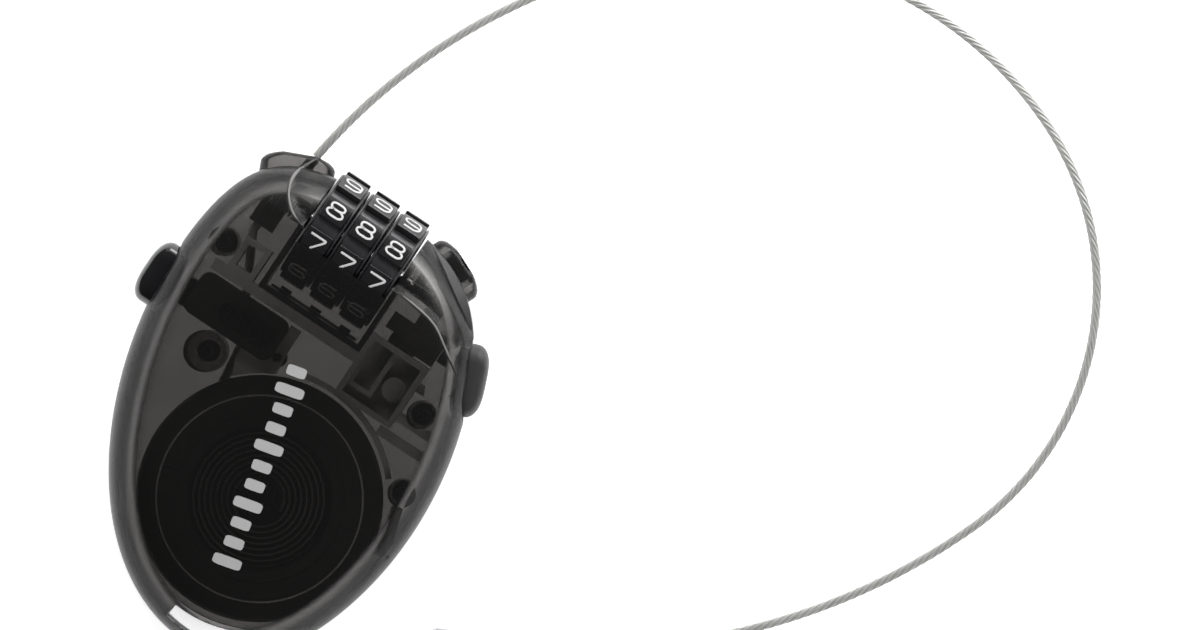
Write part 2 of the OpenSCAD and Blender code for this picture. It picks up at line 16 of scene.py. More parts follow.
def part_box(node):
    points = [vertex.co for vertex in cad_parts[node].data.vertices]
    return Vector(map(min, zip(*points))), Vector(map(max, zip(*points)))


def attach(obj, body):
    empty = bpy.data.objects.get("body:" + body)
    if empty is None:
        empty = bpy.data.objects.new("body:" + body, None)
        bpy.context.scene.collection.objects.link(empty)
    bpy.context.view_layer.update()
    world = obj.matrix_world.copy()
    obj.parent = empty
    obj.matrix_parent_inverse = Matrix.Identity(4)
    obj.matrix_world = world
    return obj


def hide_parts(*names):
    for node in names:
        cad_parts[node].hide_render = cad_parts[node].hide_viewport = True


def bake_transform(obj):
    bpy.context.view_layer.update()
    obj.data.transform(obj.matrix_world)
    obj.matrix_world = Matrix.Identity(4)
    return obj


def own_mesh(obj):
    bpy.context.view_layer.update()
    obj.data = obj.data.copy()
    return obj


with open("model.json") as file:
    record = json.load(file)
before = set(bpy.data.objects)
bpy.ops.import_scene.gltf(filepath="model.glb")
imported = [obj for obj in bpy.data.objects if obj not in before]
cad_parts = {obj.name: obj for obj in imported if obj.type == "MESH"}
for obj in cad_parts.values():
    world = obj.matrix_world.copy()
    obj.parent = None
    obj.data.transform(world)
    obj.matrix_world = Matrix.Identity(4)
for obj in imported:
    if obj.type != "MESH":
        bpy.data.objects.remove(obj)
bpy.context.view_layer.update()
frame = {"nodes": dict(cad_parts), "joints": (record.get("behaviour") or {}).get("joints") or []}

MM = 0.001
AXIS_R = 0.002
JOINTS = {j["name"]: j for j in frame["joints"]}


def box_mm(node):
    """Lowest and highest corner of a CAD node, in millimetres."""
    low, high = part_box(node)
    return np.array(low) / MM, np.array(high) / MM


# ---------------------------------------------------------------- sizes

# The egg outline is the smooth minimum of four circles: centre x, centre y, radius
EGG_CENTRE = np.array([-5.0, 12.0])
EGG_CIRCLES = [(38.7, 27.0, 72.3), (-38.7, 8.9, 62.5), (7.7, -426.9, 478.5), (4.2, 26.3, 54.4)]
EGG_BLEND = 7.5
WALL = 1.8
FLOOR = 1.6
SKIN = 0.01
FRONT_POWER = 5.5
BACK_POWER = 8.0
PART_Z = box_mm("back_shell")[1][2]
TOP_Z = box_mm("front_shell")[1][2]
PRINT_ROOM = 0.04
FRONT_H = TOP_Z - PRINT_ROOM - PART_Z

WHEEL_LOW, WHEEL_HIGH = box_mm("number_wheel_1")
WHEEL_R = (WHEEL_HIGH[1] - WHEEL_LOW[1]) / 2
WHEEL_W = WHEEL_HIGH[0] - WHEEL_LOW[0]
SPINDLE_Y = (WHEEL_HIGH[1] + WHEEL_LOW[1]) / 2
SPINDLE_Z = (WHEEL_HIGH[2] + WHEEL_LOW[2]) / 2
WHEEL_RELIEF = WHEEL_R + 0.3
WINDOW_X = (-18.2, -0.5)
WINDOW_Y = 40.0

CABLE_D = 1.5
EXIT = np.array(JOINTS["cable_swing"]["pos_m"]) / MM
EXIT_ANGLE = 82.6
CABLE_Z = EXIT[2]
LOOP_RADII = (99.2, 62.7, 47.6, 107.3)
LOOP_TURNS = (35.7, 70.2, 88.0, 38.0)

OPEN_ANGLE = 21.5
OPEN_FOOT = (-9.4, 23.9)
OPEN_APEX = 31.9
OPEN_SIZE = (12.0, 7.0)
RETRACT_Y = 21.4
RETRACT_APEX = 36.4
RETRACT_SIZE = (11.0, 7.0)
COLLARS = {
    "exit_collar": ((-24.9, 48.6), 114.0, 12.2),
    "socket_collar": ((6.1, 48.6), 66.0, 11.0),
}
COLLAR_H = 7.2
COLLAR_SPAN = (-2.2, 1.8)
COLLAR_GAP = 0.05
EXIT_HOLE_R = CABLE_D / 2 + 0.25
SOCKET_HOLE_R = 3.25

# Button openings along the button's axis: where each step starts and its room round the button
OPEN_STEPS = ((22.0, 0.4), (28.4, 2.2))
RETRACT_STEPS = ((28.0, 0.4), (32.6, 2.0))
OPEN_ROOM = (23.75, 28.0)
OPEN_ROOM_GROW = 1.8

# Ends of cutting tools, past anything they cut
FAR_OUT = 45.0
FAR_UP_Y = 62.0
FAR_FRONT_Z = 30.0
FAR_SIDE = 60.0


# ---------------------------------------------------------------- mesh helpers

def make_object(name, points, faces, smooth=True):
    """A mesh object from points in millimetres."""
    mesh = bpy.data.meshes.new(name)
    mesh.from_pydata([tuple(p) for p in np.asarray(points, float) * MM], [], faces)
    mesh.update()
    obj = bpy.data.objects.new(name, mesh)
    bpy.context.scene.collection.objects.link(obj)
    for polygon in mesh.polygons:
        polygon.use_smooth = smooth
    return obj


def ring_faces(rings, count, wrap):
    """Quads between consecutive rings of count points, with end caps unless the rings wrap round."""
    faces = []
    for k in range(rings if wrap else rings - 1):
        a, b = k * count, (k + 1) % rings * count
        for i in range(count):
            j = (i + 1) % count
            faces.append((a + i, a + j, b + j, b + i))
    if not wrap:
        faces.append(tuple(range(count - 1, -1, -1)))
        faces.append(tuple((rings - 1) * count + i for i in range(count)))
    return faces


def circle(radius, count):
    """Points round a circle, as (across, up)."""
    return [
        (radius * math.cos(a), radius * math.sin(a))
        for a in (2 * math.pi * i / count for i in range(count))
    ]


def loft(name, rings, smooth=True, wrap=False):
    """A closed mesh through rings with the same number of points."""
    rings = [np.asarray(r, float) for r in rings]
    count = len(rings[0])
    return make_object(name, np.concatenate(rings), ring_faces(len(rings), count, wrap), smooth)


def plate(name, loop, z):
    """Prism along Z: a loop of (x, y) points between two heights."""
    return loft(name, [[(x, y, h) for x, y in loop] for h in z], smooth=False)


def rod(name, loop, x):
    """Prism along X: a loop of (y, z) points between two places."""
    return loft(name, [[(place_x, y, z) for y, z in loop] for place_x in x], smooth=False)


def block(x, y, z):
    """Plain box, given as spans; it is softened before use."""
    return plate("block", [(x[0], y[0]), (x[1], y[0]), (x[1], y[1]), (x[0], y[1])], z)


def lathe(name, profile, steps=96):
    """Revolves a closed (radius, height) profile about Z."""
    rings = [[(r * c, r * s, h) for r, h in profile] for c, s in circle(1, steps)]
    return loft(name, rings, wrap=True)


def solid_lathe(name, profile, steps=96):
    """Revolves an open (radius, height) profile that starts and ends on the axis."""
    return loft(name, [[(x, y, h) for x, y in circle(max(r, AXIS_R), steps)] for r, h in profile])


def place(obj, matrix):
    """Moves the mesh's points, so that the object itself stays at the origin."""
    obj.data.transform(matrix)
    obj.data.update()
    return obj


def shift(x, y, z=0.0):
    """Translation by millimetres."""
    return Matrix.Translation(Vector((x, y, z)) * MM)


def turn(degrees, axis):
    """Rotation about an axis through the origin."""
    return Matrix.Rotation(math.radians(degrees), 4, axis)


def in_plane(point, angle, z):
    """Matrix that takes local X to the direction at angle, starting at point."""
    return shift(point[0], point[1], z) @ turn(angle, "Z")


def bake(obj):
    """Applies the object's modifiers."""
    bpy.context.view_layer.update()
    evaluated = obj.evaluated_get(bpy.context.evaluated_depsgraph_get())
    mesh = bpy.data.meshes.new_from_object(evaluated)
    obj.modifiers.clear()
    obj.data = mesh
    return obj


def cut(obj, tool):
    """Takes the tool's volume from the object and deletes the tool."""
    modifier = obj.modifiers.new("cut", "BOOLEAN")
    modifier.operation = "DIFFERENCE"
    modifier.solver = "MANIFOLD"
    modifier.object = tool
    bake(obj)
    bpy.data.objects.remove(tool)
    return obj


def soften(obj, width, segments=2, angle=35.0):
    """Rounds the object's sharp edges."""
    modifier = obj.modifiers.new("bevel", "BEVEL")
    modifier.width = width * MM
    modifier.segments = segments
    modifier.limit_method = "ANGLE"
    modifier.angle_limit = math.radians(angle)
    modifier.use_clamp_overlap = True
    modifier.harden_normals = False
    return obj


def smooth_by_angle(obj, angle):
    """Smooth shading, with edges sharper than the angle kept crisp."""
    obj.data.shade_smooth()
    obj.data.set_sharp_from_angle(angle=math.radians(angle))
    return obj


def join(name, objects):
    """One object from several, keeping material slots."""
    bm = bmesh.new()
    materials = []
    for o in objects:
        start = len(bm.faces)
        bm.from_mesh(o.data)
        bm.faces.ensure_lookup_table()
        remap = []
        for m in o.data.materials:
            if m not in materials:
                materials.append(m)
            remap.append(materials.index(m))
        for f in bm.faces[start:]:
            f.material_index = remap[f.material_index] if remap else 0
    mesh = bpy.data.meshes.new(name)
    bm.to_mesh(mesh)
    bm.free()
    for m in materials:
        mesh.materials.append(m)
    for o in objects:
        bpy.data.objects.remove(o)
    joined = bpy.data.objects.new(name, mesh)
    bpy.context.scene.collection.objects.link(joined)
    return joined


def oval(length, height, count=64, power=2.0):
    """Closed loop in the Y-Z plane: a stadium (power 2) or a rounder-cornered oval."""
    loop = []
    straight = (length - height) / 2
    for i in range(count):
        a = 2 * math.pi * (i + 0.5) / count
        c, s = math.cos(a), math.sin(a)
        y = height / 2 * math.copysign(abs(c) ** (2 / power), c) + math.copysign(straight, c)
        z = height / 2 * math.copysign(abs(s) ** (2 / power), s)
        loop.append((y, z))
    return loop


def oval_prism(name, span, length, height):
    """Prism along X with an oval section."""
    return rod(name, oval(length, height), span)


def directions(curve):
    """Unit direction along a curve at each of its points."""
    result = []
    for i in range(len(curve)):
        step = curve[min(i + 1, len(curve) - 1)] - curve[max(i - 1, 0)]
        result.append(step / np.hypot(*step))
    return result


OPEN_PLACE = in_plane(OPEN_FOOT, OPEN_ANGLE, PART_Z)
RETRACT_PLACE = in_plane((0, RETRACT_Y), 180, PART_Z)


# ---------------------------------------------------------------- materials

BUMP_DEPTH = 0.05
# A colour mix node's sockets; its float, vector and colour inputs share their names, so they go by number
MIX_FACTOR, MIX_A, MIX_B, MIX_RESULT = 0, 6, 7, 2


def material(name):
    """A new node material and its node tree, with only the output left."""
    m = bpy.data.materials.new(name)
    m.use_nodes = True
    tree = m.node_tree
    tree.nodes.clear()
    tree.nodes.new("ShaderNodeOutputMaterial")
    return m, tree


def link(tree, a, b):
    """Joins output a to input b."""
    tree.links.new(a, b)


def node(tree, kind, **inputs):
    """A shader node with named inputs set."""
    n = tree.nodes.new(kind)
    for key, value in inputs.items():
        n.inputs[key.replace("_", " ")].default_value = value
    return n


def coordinates(tree):
    """Object coordinates in millimetres."""
    source = tree.nodes.new("ShaderNodeTexCoord")
    mapping = tree.nodes.new("ShaderNodeMapping")
    mapping.inputs["Scale"].default_value = (1 / MM, 1 / MM, 1 / MM)
    link(tree, source.outputs["Object"], mapping.inputs["Vector"])
    return mapping.outputs["Vector"]


def noise(tree, vector, scale, detail=3.0, roughness=0.5):
    """Noise value at the vector."""
    n = node(tree, "ShaderNodeTexNoise", Scale=scale, Detail=detail, Roughness=roughness)
    link(tree, vector, n.inputs["Vector"])
    return n.outputs["Fac"]


def ramp(tree, value, low, high, start=0.0, end=1.0):
    """Maps start..end to low..high."""
    n = tree.nodes.new("ShaderNodeMapRange")
    for key, v in (("From Min", start), ("From Max", end), ("To Min", low), ("To Max", high)):
        n.inputs[key].default_value = v
    link(tree, value, n.inputs["Value"])
    return n.outputs["Result"]


def mix_node(tree, factor, b):
    """Colour mix with its second colour and factor set."""
    n = tree.nodes.new("ShaderNodeMix")
    n.data_type = "RGBA"
    n.inputs[MIX_B].default_value = (*b, 1)
    link(tree, factor, n.inputs[MIX_FACTOR])
    return n


def mix_colour(tree, factor, a, b):
    """Colour from a to b as the factor grows."""
    n = mix_node(tree, factor, b)
    n.inputs[MIX_A].default_value = (*a, 1)
    return n.outputs[MIX_RESULT]


def bump(tree, height, strength):
    """Normal of a slightly uneven surface."""
    n = node(tree, "ShaderNodeBump", Strength=strength, Distance=BUMP_DEPTH * MM)
    link(tree, height, n.inputs["Height"])
    return n.outputs["Normal"]


def surface(name, colour, shade=0.85, rough=(0.3, 0.4), metal=0.0, grain=6.0, relief=0.1, coat=0.0):
    """Moulded or metal surface: mottled colour, varying roughness and a fine grain."""
    m, tree = material(name)
    vector = coordinates(tree)
    coarse = noise(tree, vector, 0.35)
    fine = noise(tree, vector, grain, 4.0, 0.6)
    bsdf = node(tree, "ShaderNodeBsdfPrincipled", Metallic=metal)
    bsdf.inputs["Coat Weight"].default_value = coat
    bsdf.inputs["Coat Roughness"].default_value = 0.08
    dark = tuple(c * shade for c in colour)
    link(tree, mix_colour(tree, coarse, dark, colour), bsdf.inputs["Base Color"])
    link(tree, ramp(tree, fine, rough[0], rough[1], 0.3, 0.7), bsdf.inputs["Roughness"])
    link(tree, bump(tree, fine, relief), bsdf.inputs["Normal"])
    link(tree, bsdf.outputs["BSDF"], tree.nodes["Material Output"].inputs["Surface"])
    return m


# How dark the smoked plastic gets edge on, and how strongly its skin mirrors
EDGE_TINT = 0.3
SKIN_SHINE = 0.55
SCATTER = (0.1, 0.098, 0.096, 1)


def smoked_plastic(name, tint, clarity, rough):
    """Smoked clear plastic: light passes through darkened, a little scatters, and the skin shines."""
    m, tree = material(name)
    vector = coordinates(tree)
    cloud = noise(tree, vector, 0.12, 2.0)
    fine = noise(tree, vector, 9.0, 3.0)
    clear = tree.nodes.new("ShaderNodeBsdfTransparent")
    dark = tuple(c * 0.9 for c in tint)
    slant = node(tree, "ShaderNodeLayerWeight", Blend=0.5)
    edge_on = ramp(tree, slant.outputs["Facing"], 0.0, 1.0, 0.12, 0.75)
    thick = mix_node(tree, edge_on, tuple(c * EDGE_TINT for c in tint))
    link(tree, mix_colour(tree, cloud, dark, tint), thick.inputs[MIX_A])
    link(tree, thick.outputs[MIX_RESULT], clear.inputs["Color"])
    body = node(tree, "ShaderNodeBsdfDiffuse", Color=SCATTER, Roughness=0.5)
    inside = tree.nodes.new("ShaderNodeMixShader")
    inside.inputs[0].default_value = 1 - clarity
    link(tree, clear.outputs[0], inside.inputs[1])
    link(tree, body.outputs[0], inside.inputs[2])
    skin = node(tree, "ShaderNodeBsdfGlossy", Color=(SKIN_SHINE, SKIN_SHINE, SKIN_SHINE, 1))
    link(tree, ramp(tree, fine, rough * 0.8, rough * 1.25, 0.3, 0.7), skin.inputs["Roughness"])
    fresnel = node(tree, "ShaderNodeFresnel", IOR=1.47)
    normal = bump(tree, fine, 0.06)
    link(tree, normal, skin.inputs["Normal"])
    link(tree, normal, fresnel.inputs["Normal"])
    outer = tree.nodes.new("ShaderNodeMixShader")
    link(tree, fresnel.outputs[0], outer.inputs[0])
    link(tree, inside.outputs[0], outer.inputs[1])
    link(tree, skin.outputs[0], outer.inputs[2])
    link(tree, outer.outputs[0], tree.nodes["Material Output"].inputs["Surface"])
    return m


SMOKE = smoked_plastic("smoked_shell", (0.64, 0.632, 0.627), 0.94, 0.3)
SMOKE_POST = smoked_plastic("smoked_post", (0.5, 0.49, 0.485), 0.9, 0.3)
SMOKE_COLLAR = smoked_plastic("smoked_collar", (0.47, 0.46, 0.455), 0.88, 0.28)
# Light grey of the bead along the deck's edge: a painted highlight of the step edge
PAINTED_EDGE_HIGHLIGHT = surface("painted_edge_highlight", (0.17, 0.167, 0.164), 0.8, (0.25, 0.4), relief=0.05)
BLACK_GLOSS = surface("black_gloss", (0.012, 0.012, 0.013), 0.8, (0.1, 0.2), relief=0.04, coat=0.6)
BLACK_WHEEL = surface("black_wheel", (0.014, 0.014, 0.015), 0.8, (0.16, 0.28), relief=0.06, coat=0.3)
WHEEL_RIM = surface("wheel_rim", (0.035, 0.035, 0.037), 0.8, (0.3, 0.42), relief=0.1)
PRINT_INK = surface("print_ink", (0.36, 0.36, 0.36), 0.92, (0.4, 0.55), grain=14.0, relief=0.1)
WHITE_INK = surface("white_ink", (0.55, 0.55, 0.55), 0.94, (0.35, 0.5), relief=0.08)
GREY_MATTE = surface("grey_matte", (0.03, 0.03, 0.031), 0.85, (0.42, 0.55), grain=12.0, relief=0.25)
INNER_GREY = surface("inner_grey", (0.62, 0.61, 0.6), 0.85, (0.35, 0.5), relief=0.12)
INNER_BLACK = surface("inner_black", (0.045, 0.043, 0.042), 0.8, (0.3, 0.45), relief=0.12)
STEEL = surface("plated_steel", (0.66, 0.66, 0.68), 0.9, (0.2, 0.34), metal=1.0, relief=0.05)
SPRING_STEEL = surface("spring_steel", (0.34, 0.34, 0.36), 0.8, (0.25, 0.4), metal=1.0, relief=0.06)
DARK_SPRING = surface("dark_spring", (0.2, 0.19, 0.18), 0.7, (0.35, 0.5), metal=0.3, relief=0.08)
CHROME = surface("chrome", (0.86, 0.86, 0.88), 0.97, (0.1, 0.18), metal=0.6, grain=3.0, relief=0.02)
CABLE_STEEL = surface("cable_steel", (0.66, 0.66, 0.64), 0.75, (0.3, 0.45), metal=0.55, relief=0.2)


def paint(obj, *materials):
    """Gives the object these materials."""
    obj.data.materials.clear()
    for m in materials:
        obj.data.materials.append(m)
    return obj


# ---------------------------------------------------------------- case

def egg_radius(angles):
    """Distance from the egg's centre to its outline."""
    total = 0.0
    for cx, cy, radius in EGG_CIRCLES:
        ox, oy = EGG_CENTRE[0] - cx, EGG_CENTRE[1] - cy
        along = np.cos(angles) * ox + np.sin(angles) * oy
        reach = -along + np.sqrt(along**2 - (ox**2 + oy**2) + radius**2)
        total = total + reach**-EGG_BLEND
    return total ** (-1 / EGG_BLEND)


RING_POINTS = 240
RING_STEPS = 44
DOME_END = 89.3


def egg_loop(scale, inset, z):
    """The egg outline at a height, drawn in by the inset."""
    angles = np.arange(RING_POINTS) * 2 * math.pi / RING_POINTS
    radius = scale * (egg_radius(angles) - inset)
    x = EGG_CENTRE[0] + radius * np.cos(angles)
    y = EGG_CENTRE[1] + radius * np.sin(angles)
    return np.stack([x, y, np.full_like(x, z)], axis=1)


def dome(name, inset, height, power, skirt=0.0, front=True, drop=None):
    """Egg-shaped dome standing on the parting plane, upwards or downwards."""
    sign = 1 if front else -1
    rings = [egg_loop(1, inset, PART_Z - sign * skirt)] if skirt else []
    for k in range(RING_STEPS + 1):
        t = math.radians(DOME_END) * k / RING_STEPS
        scale = math.cos(t) ** (2 / power)
        rings.append(egg_loop(scale, inset, PART_Z + sign * height * math.sin(t)))
    rings = [np.array(r) for r in rings]
    if drop is not None:
        for r in rings:
            r[:, 2] -= drop(r[:, 0], r[:, 1])
    if not front:
        rings = [r[::-1] for r in rings]
    return loft(name, rings)


def wheel_relief():
    """Cylinder that the three wheels turn in."""
    loop = [(SPINDLE_Y + y, SPINDLE_Z + z) for y, z in circle(WHEEL_RELIEF, 120)]
    return rod("relief", loop, WINDOW_X)


def lanyard_slot():
    """Crescent through the case's lower end."""
    bail, slot_r, side_low, side_high = 1.7, 21.6, -2.4, 10.8
    angles = np.linspace(math.radians(-100), math.radians(-55), 60)
    outer = []
    for a in angles:
        r = egg_radius(np.array([a]))[0] - bail
        p = EGG_CENTRE + r * np.array([math.cos(a), math.sin(a)])
        if side_low <= p[0] <= side_high and math.hypot(*p) > slot_r:
            outer.append(p)
    start = math.atan2(outer[-1][1], outer[-1][0])
    end = math.atan2(outer[0][1], outer[0][0])
    inner = [slot_r * np.array([math.cos(a), math.sin(a)]) for a in np.linspace(start, end, 40)]
    return plate("slot", outer + inner, (-3, FAR_FRONT_Z))


def case_openings(shell):
    """Cuts what both shells leave open: collars, buttons, wheels and lanyard slot."""
    for point, angle, length in COLLARS.values():
        span = (COLLAR_SPAN[0] - COLLAR_GAP, 8)
        tool = oval_prism("tool", span, length + 2 * COLLAR_GAP, COLLAR_H + 2 * COLLAR_GAP)
        cut(shell, place(tool, in_plane(point, angle, CABLE_Z)))
    for steps, size, matrix in (
        (OPEN_STEPS, OPEN_SIZE, OPEN_PLACE),
        (RETRACT_STEPS, RETRACT_SIZE, RETRACT_PLACE),
    ):
        for start, room in steps:
            tool = oval_prism("tool", (start, FAR_OUT), size[0] + room, size[1] + room)
            cut(shell, place(tool, matrix))
    cut(shell, wheel_relief())
    cut(shell, lanyard_slot())


# The deck's edge in plan, left and right of the wheel window
CREASE_LEFT = [
    (-22.2, 55.0), (-22.5, 51.2), (-23.6, 48.9), (-24.1, 46.6), (-23.3, 43.9), (-21.0, 41.6), (-18.0, 40.5),
]
CREASE_RIGHT = [
    (-0.8, 40.1), (3.4, 39.9), (8.0, 39.0), (11.8, 36.7), (16.4, 33.6), (20.2, 30.2), (26.0, 24.5),
]
CREASE_R, CREASE_TIP, CREASE_TAPER = 0.27, 0.25, 12
DECK_DROP = 1.05
DECK_FADE_START, DECK_FADE_LENGTH, DECK_FADE = 6.0, 16.0, 0.75


def deck_drop(x, y):
    """The deck round the wheels lies lower than the front face; the step fades out to the right."""
    fade = np.clip((x - DECK_FADE_START) / DECK_FADE_LENGTH, 0, 1)
    return DECK_DROP * (1 - fade * fade * (3 - 2 * fade) * DECK_FADE)


def smooth_curve(points, steps=8):
    """Catmull-Rom curve through points."""
    p = [np.array(q, float) for q in points]
    p = [2 * p[0] - p[1]] + p + [2 * p[-1] - p[-2]]
    out = []
    for i in range(1, len(p) - 2):
        for k in range(steps):
            t = k / steps
            a, b, c, d = p[i - 1], p[i], p[i + 1], p[i + 2]
            out.append(0.5 * (2 * b + (c - a) * t + (2 * a - 5 * b + 4 * c - d) * t**2
                              + (3 * b - a - 3 * c + d) * t**3))
    out.append(p[-2])
    return out


def front_height(x, y, lift=0.0):
    """Height of the front face at a point."""
    d = np.array([x, y]) - EGG_CENTRE
    scale = min(np.hypot(*d) / egg_radius(np.array([math.atan2(d[1], d[0])]))[0], 0.999)
    return PART_Z + FRONT_H * math.sqrt(1 - scale**FRONT_POWER) + lift


def deck_cutter():
    """Solid over the deck: its drafted side wall makes the bevel that bounds the deck."""
    draft = 0.9
    curve = smooth_curve(CREASE_LEFT) + smooth_curve(CREASE_RIGHT)
    low, high = [], []
    for p, along in zip(curve, directions(curve)):
        outward = np.array([along[1], -along[0]])
        z = front_height(*p)
        for target, dz in ((low, -3.0), (high, 2.5)):
            q = p + outward * dz * draft
            target.append((q[0], q[1], z + dz))
    corners = [(40, 24), (40, FAR_UP_Y), (CREASE_LEFT[0][0] + 0.2, FAR_UP_Y)]
    low += [(x, y, 12) for x, y in corners]
    high += [(x, y, 26) for x, y in corners]
    cutter = loft("deck", [low, high], smooth=False)
    kept = dome("kept", -0.4, FRONT_H, FRONT_POWER, 8, drop=deck_drop)
    return cut(cutter, kept)


def build_front_shell():
    """Front shell with its lowered deck and the wheel window."""
    shell = dome("front_shell_skin", SKIN, FRONT_H, FRONT_POWER)
    cut(shell, deck_cutter())
    cut(shell, dome("tool", WALL, FRONT_H - WALL, FRONT_POWER, 1))
    x0, x1 = WINDOW_X
    window = [(x0, WINDOW_Y + 0.3), (x1, WINDOW_Y - 0.8), (x1, FAR_UP_Y), (x0, FAR_UP_Y)]
    cut(shell, plate("tool", window, (PART_Z - 1, FAR_FRONT_Z)))
    case_openings(shell)
    finish_shell(shell, "front_shell")


def build_crease_highlight():
    """Light grey bead round the deck, on both sides of the wheel window: a painted highlight of the deck's
    step edge.
    """
    parts = []
    for points in (CREASE_LEFT[1:], CREASE_RIGHT[:-2]):
        curve = smooth_curve(points, 10)
        rings = []
        for i, (p, along) in enumerate(zip(curve, directions(curve))):
            side = np.array([-along[1], along[0]])
            from_end = min(i, len(curve) - 1 - i)
            radius = CREASE_R * min(1.0, CREASE_TIP + from_end / CREASE_TAPER)
            z = front_height(*p) - CREASE_R
            rings.append([(*(p + side * c), z + h) for c, h in circle(radius, 12)])
        # The bead's light grey is a painted highlight of the deck's step edge
        parts.append(paint(loft("crease", rings), PAINTED_EDGE_HIGHLIGHT))
    edge = smooth_by_angle(join("deck_edge_painted_highlight", parts), 60)
    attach(edge, "case")


PRINT_START, PRINT_END = (1.4, -11.0), (-6.1, 20.6)
PRINT_BARS, PRINT_HEIGHT = 11, 4.8
PRINT_BAR_SHARE, SHORT_BAR = 0.27, 0.68
PRINT_DEPTH, PRINT_RISE = 0.05, 0.03
PRINT_CORNER = 0.4


def build_print():
    """Row of plain printed bars up the front face."""
    start, end = np.array(PRINT_START), np.array(PRINT_END)
    along = (end - start) / np.hypot(*(end - start))
    across = np.array([-along[1], along[0]])
    pitch = np.hypot(*(end - start)) / (PRINT_BARS - 1)
    bars = []
    for k in range(PRINT_BARS):
        middle = start + along * pitch * k
        half = (pitch * PRINT_BAR_SHARE, PRINT_HEIGHT / 2 * (1.0 if k % 3 == 0 else SHORT_BAR))
        outline = []
        for c, s in circle(1, 40):
            u = half[0] * math.copysign(abs(c) ** PRINT_CORNER, c)
            v = half[1] * math.copysign(abs(s) ** PRINT_CORNER, s)
            outline.append(middle + along * u + across * v)
        low = [(x, y, front_height(x, y, -PRINT_DEPTH)) for x, y in outline]
        high = [(x, y, front_height(x, y, PRINT_RISE)) for x, y in outline]
        bars.append(paint(loft("bar", [low, high], smooth=False), PRINT_INK))
    marks = join("front_print", bars)
    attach(marks, "case")


SCREW_HOLE_R, SCREW_HOLE_TOP = 2.0, 2.7


def build_back_shell():
    """Back shell with its flat face and screw holes."""
    shell = dome("back_shell_skin", SKIN, PART_Z + 1, BACK_POWER, front=False)
    cut(shell, dome("tool", WALL, PART_Z - FLOOR, BACK_POWER, 1, front=False))
    cut(shell, block((-FAR_SIDE, FAR_SIDE), (-FAR_SIDE, FAR_UP_Y), (-5, 0)))
    case_openings(shell)
    for low, high in screw_heads():
        x, y, _ = (low + high) / 2
        hole = plate("tool", circle(SCREW_HOLE_R, 40), (-1, SCREW_HOLE_TOP))
        cut(shell, place(hole, shift(x, y)))
    finish_shell(shell, "back_shell")


SCREW_SPACING = 6.0


def screw_heads():
    """Boxes of the separate screws in the CAD node, in millimetres."""
    mesh = frame["nodes"]["case_screws"].data
    points = np.array([v.co for v in mesh.vertices]) / MM
    groups = []
    for p in points:
        for g in groups:
            if np.hypot(*(g[0][:2] - p[:2])) < SCREW_SPACING:
                g.append(p)
                break
        else:
            groups.append([p])
    return [(np.min(g, 0), np.max(g, 0)) for g in groups]


# Screw posts: x, y, radius; the arm beside the second one is a rib under the front
POSTS = [(-20.4, 15.1, 3.4), (18.7, 13.4, 2.3), (-27.8, 31.5, 2.4), (14.3, 25.7, 2.3)]
POST_BORE, POST_LOW, POST_BEVEL = 1.1, 3.0, 0.25
RIB_END, RIB_W, RIB_Z = (21.8, 3.1), 1.9, 15.1


def open_button_room():
    """Room behind the wall for the open button's flange."""
    tool = oval_prism("tool", OPEN_ROOM, OPEN_SIZE[0] + OPEN_ROOM_GROW, OPEN_SIZE[1] + OPEN_ROOM_GROW)
    return place(tool, OPEN_PLACE)


def build_posts():
    """Tubes that take the case screws, and the rib."""
    parts = []
    for x, y, radius in POSTS:
        corners = [front_height(x + dx, y + dy) for dx in (-radius, radius) for dy in (-radius, radius)]
        top = min(corners) - WALL
        profile = [(POST_BORE, POST_LOW), (radius - POST_BEVEL, POST_LOW), (radius, POST_LOW + POST_BEVEL)]
        profile += [(radius, top), (POST_BORE, top)]
        post = place(lathe("post", profile, 64), shift(x, y))
        parts.append(cut(post, open_button_room()))
    start, end = np.array(POSTS[1][:2]), np.array(RIB_END)
    along = (end - start) / np.hypot(*(end - start))
    across = np.array([-along[1], along[0]]) * RIB_W / 2
    start = start + along * POSTS[1][2]
    rings = []
    for p in (start, end):
        top = front_height(*p) - WALL
        left, right = p - across, p + across
        rings.append([(*left, RIB_Z), (*right, RIB_Z), (*right, top), (*left, top)])
    parts.append(bake(soften(loft("rib", rings, smooth=False), 0.3)))
    posts = smooth_by_angle(join("screw_posts", parts), 40)
    paint(posts, SMOKE_POST)
    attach(posts, "case")


# ---------------------------------------------------------------- reel cover and slider

COVER_LINE_R, COVER_SEAM_ANGLE = 16.7, 14.5


def build_drum_cover():
    """Black cover with a raised ring line, a shallow dish and a seam across it; the ring line's light grey is
    a painted highlight of its step edge.
    """
    low, high = box_mm("drum_cover")
    radius, bottom, top = (high[0] - low[0]) / 2, low[2], high[2]
    bore, line, bead = 11.6, COVER_LINE_R, 0.16
    profile = [(bore, bottom), (radius - 0.3, bottom), (radius, bottom + 0.3), (radius, top - 0.45)]
    profile += [(radius - 0.45, top), (line + 1.2, top), (line + bead, top - 0.25), (bore + 2.2, top - 0.3)]
    profile += [(bore + 1.9, top - 0.55), (bore + 0.3, top - 0.55), (bore, top - 0.8)]
    cover = smooth_by_angle(paint(lathe("cover", profile, 160), INNER_BLACK), 25)
    inner, outer = line - bead, line + bead
    # The raised ring line is painted light grey: a painted highlight where the cover's step edge would catch
    # light
    ring = [(inner, top - 0.4), (outer, top - 0.4), (outer, top - 0.12), (inner, top - 0.12)]
    parts = [cover, paint(lathe("line", ring, 160), INNER_GREY)]
    for side in (-1, 1):
        x = sorted((side * (bore + 2.2), side * inner))
        seam = block(x, (-0.09, 0.09), (top - 0.5, top - 0.22))
        parts.append(place(paint(seam, BLACK_GLOSS), turn(COVER_SEAM_ANGLE, "Z")))
    piece = join("reel_cover", parts)
    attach(piece, "reel")
    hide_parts("drum_cover")


